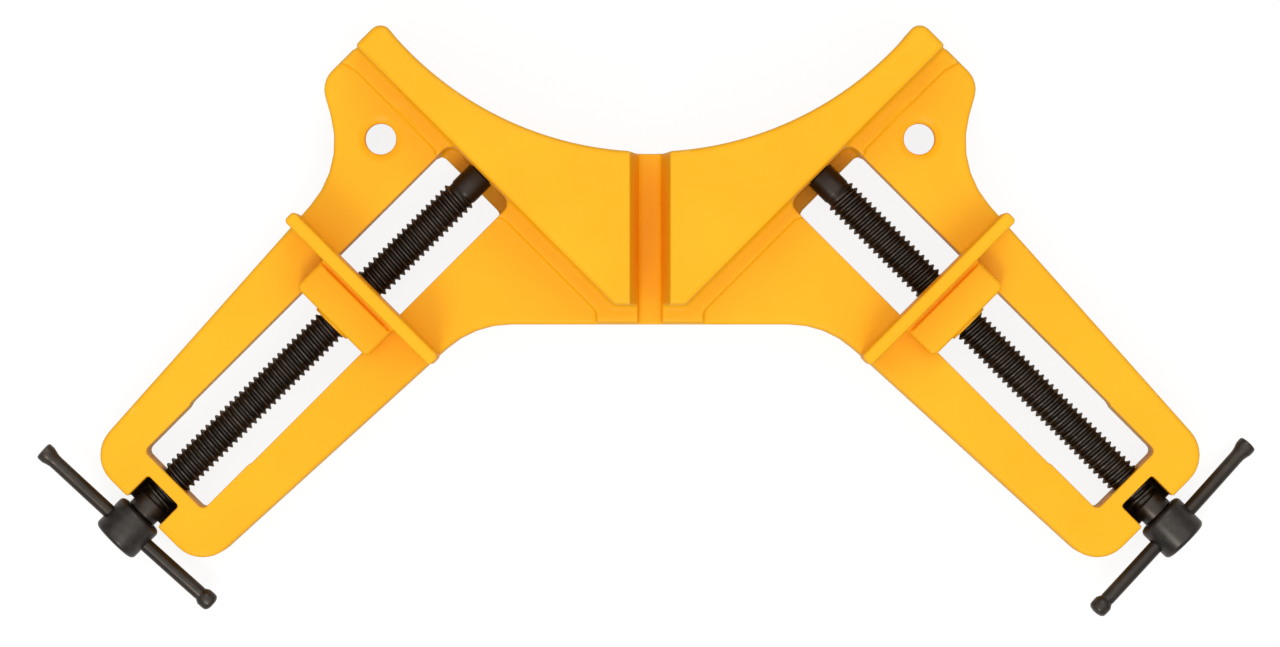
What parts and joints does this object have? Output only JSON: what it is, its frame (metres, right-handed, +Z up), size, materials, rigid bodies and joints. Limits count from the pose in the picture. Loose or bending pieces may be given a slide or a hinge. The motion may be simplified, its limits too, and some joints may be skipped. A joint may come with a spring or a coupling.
{
  "type": "corner clamp",
  "caption": "Right-angle corner clamp: a die-cast frame with square fences, each faced by a jaw that a lead screw with a sliding tommy bar drives along a slotted arm.",
  "frame": {"origin": "on the bench plane, on the centre line, under the middle of the web between the fences", "axes": "+X to the right arm, +Y away from the corner towards the hollow back, +Z up from the bench"},
  "size_m": [0.3055, 0.1476, 0.036],
  "materials": {
    "yellow_paint": "glossy yellow paint over die casting",
    "black_oxide_steel": "black oxide, oiled",
    "zinc_plated_steel": "bright zinc plate"
  },
  "bodies": {
    "frame": {"frame_casting": "yellow_paint"},
    "left_spindle": {"left_lead_screw": "black_oxide_steel", "left_collar": "black_oxide_steel", "left_thrust_washer": "zinc_plated_steel", "left_retaining_ring": "zinc_plated_steel"},
    "left_bar": {"left_tommy_bar": "black_oxide_steel"},
    "left_jaw": {"left_sliding_jaw": "yellow_paint", "left_keeper_plate": "zinc_plated_steel", "left_keeper_screw_inner": "zinc_plated_steel", "left_keeper_screw_outer": "zinc_plated_steel"},
    "right_spindle": {"right_lead_screw": "black_oxide_steel", "right_collar": "black_oxide_steel", "right_thrust_washer": "zinc_plated_steel", "right_retaining_ring": "zinc_plated_steel"},
    "right_bar": {"right_tommy_bar": "black_oxide_steel"},
    "right_jaw": {"right_sliding_jaw": "yellow_paint", "right_keeper_plate": "zinc_plated_steel", "right_keeper_screw_inner": "zinc_plated_steel", "right_keeper_screw_outer": "zinc_plated_steel"}
  },
  "joints": [
    {"name": "left_spindle_spin", "type": "hinge", "parent": "frame", "child": "left_spindle", "pos_m": [-0.04207, 0.01672, 0.009], "axis": [-0.7071, -0.7071, 0], "range_deg": [-7076, 7754]},
    {"name": "left_jaw_slide", "type": "slide", "parent": "frame", "child": "left_jaw", "axis": [-0.7071, -0.7071, 0], "range_m": [-0.0334, 0.0366]},
    {"name": "left_bar_slide", "type": "slide", "parent": "left_spindle", "child": "left_bar", "axis": [-0.7299, 0.6756, 0.1045], "range_m": [-0.0183, 0.0183]},
    {"name": "right_spindle_spin", "type": "hinge", "parent": "frame", "child": "right_spindle", "pos_m": [0.04207, 0.01672, 0.009], "axis": [0.7071, -0.7071, 0], "range_deg": [-7076, 7754]},
    {"name": "right_jaw_slide", "type": "slide", "parent": "frame", "child": "right_jaw", "axis": [0.7071, -0.7071, 0], "range_m": [-0.0334, 0.0366]},
    {"name": "right_bar_slide", "type": "slide", "parent": "right_spindle", "child": "right_bar", "axis": [-0.6756, -0.7299, 0.1045], "range_m": [-0.0183, 0.0183]}
  ],
  "couplings": [
    {"joint": "left_spindle_spin", "follows": "left_jaw_slide", "rad_per_m": 3696},
    {"joint": "right_spindle_spin", "follows": "right_jaw_slide", "rad_per_m": 3696}
  ]
}
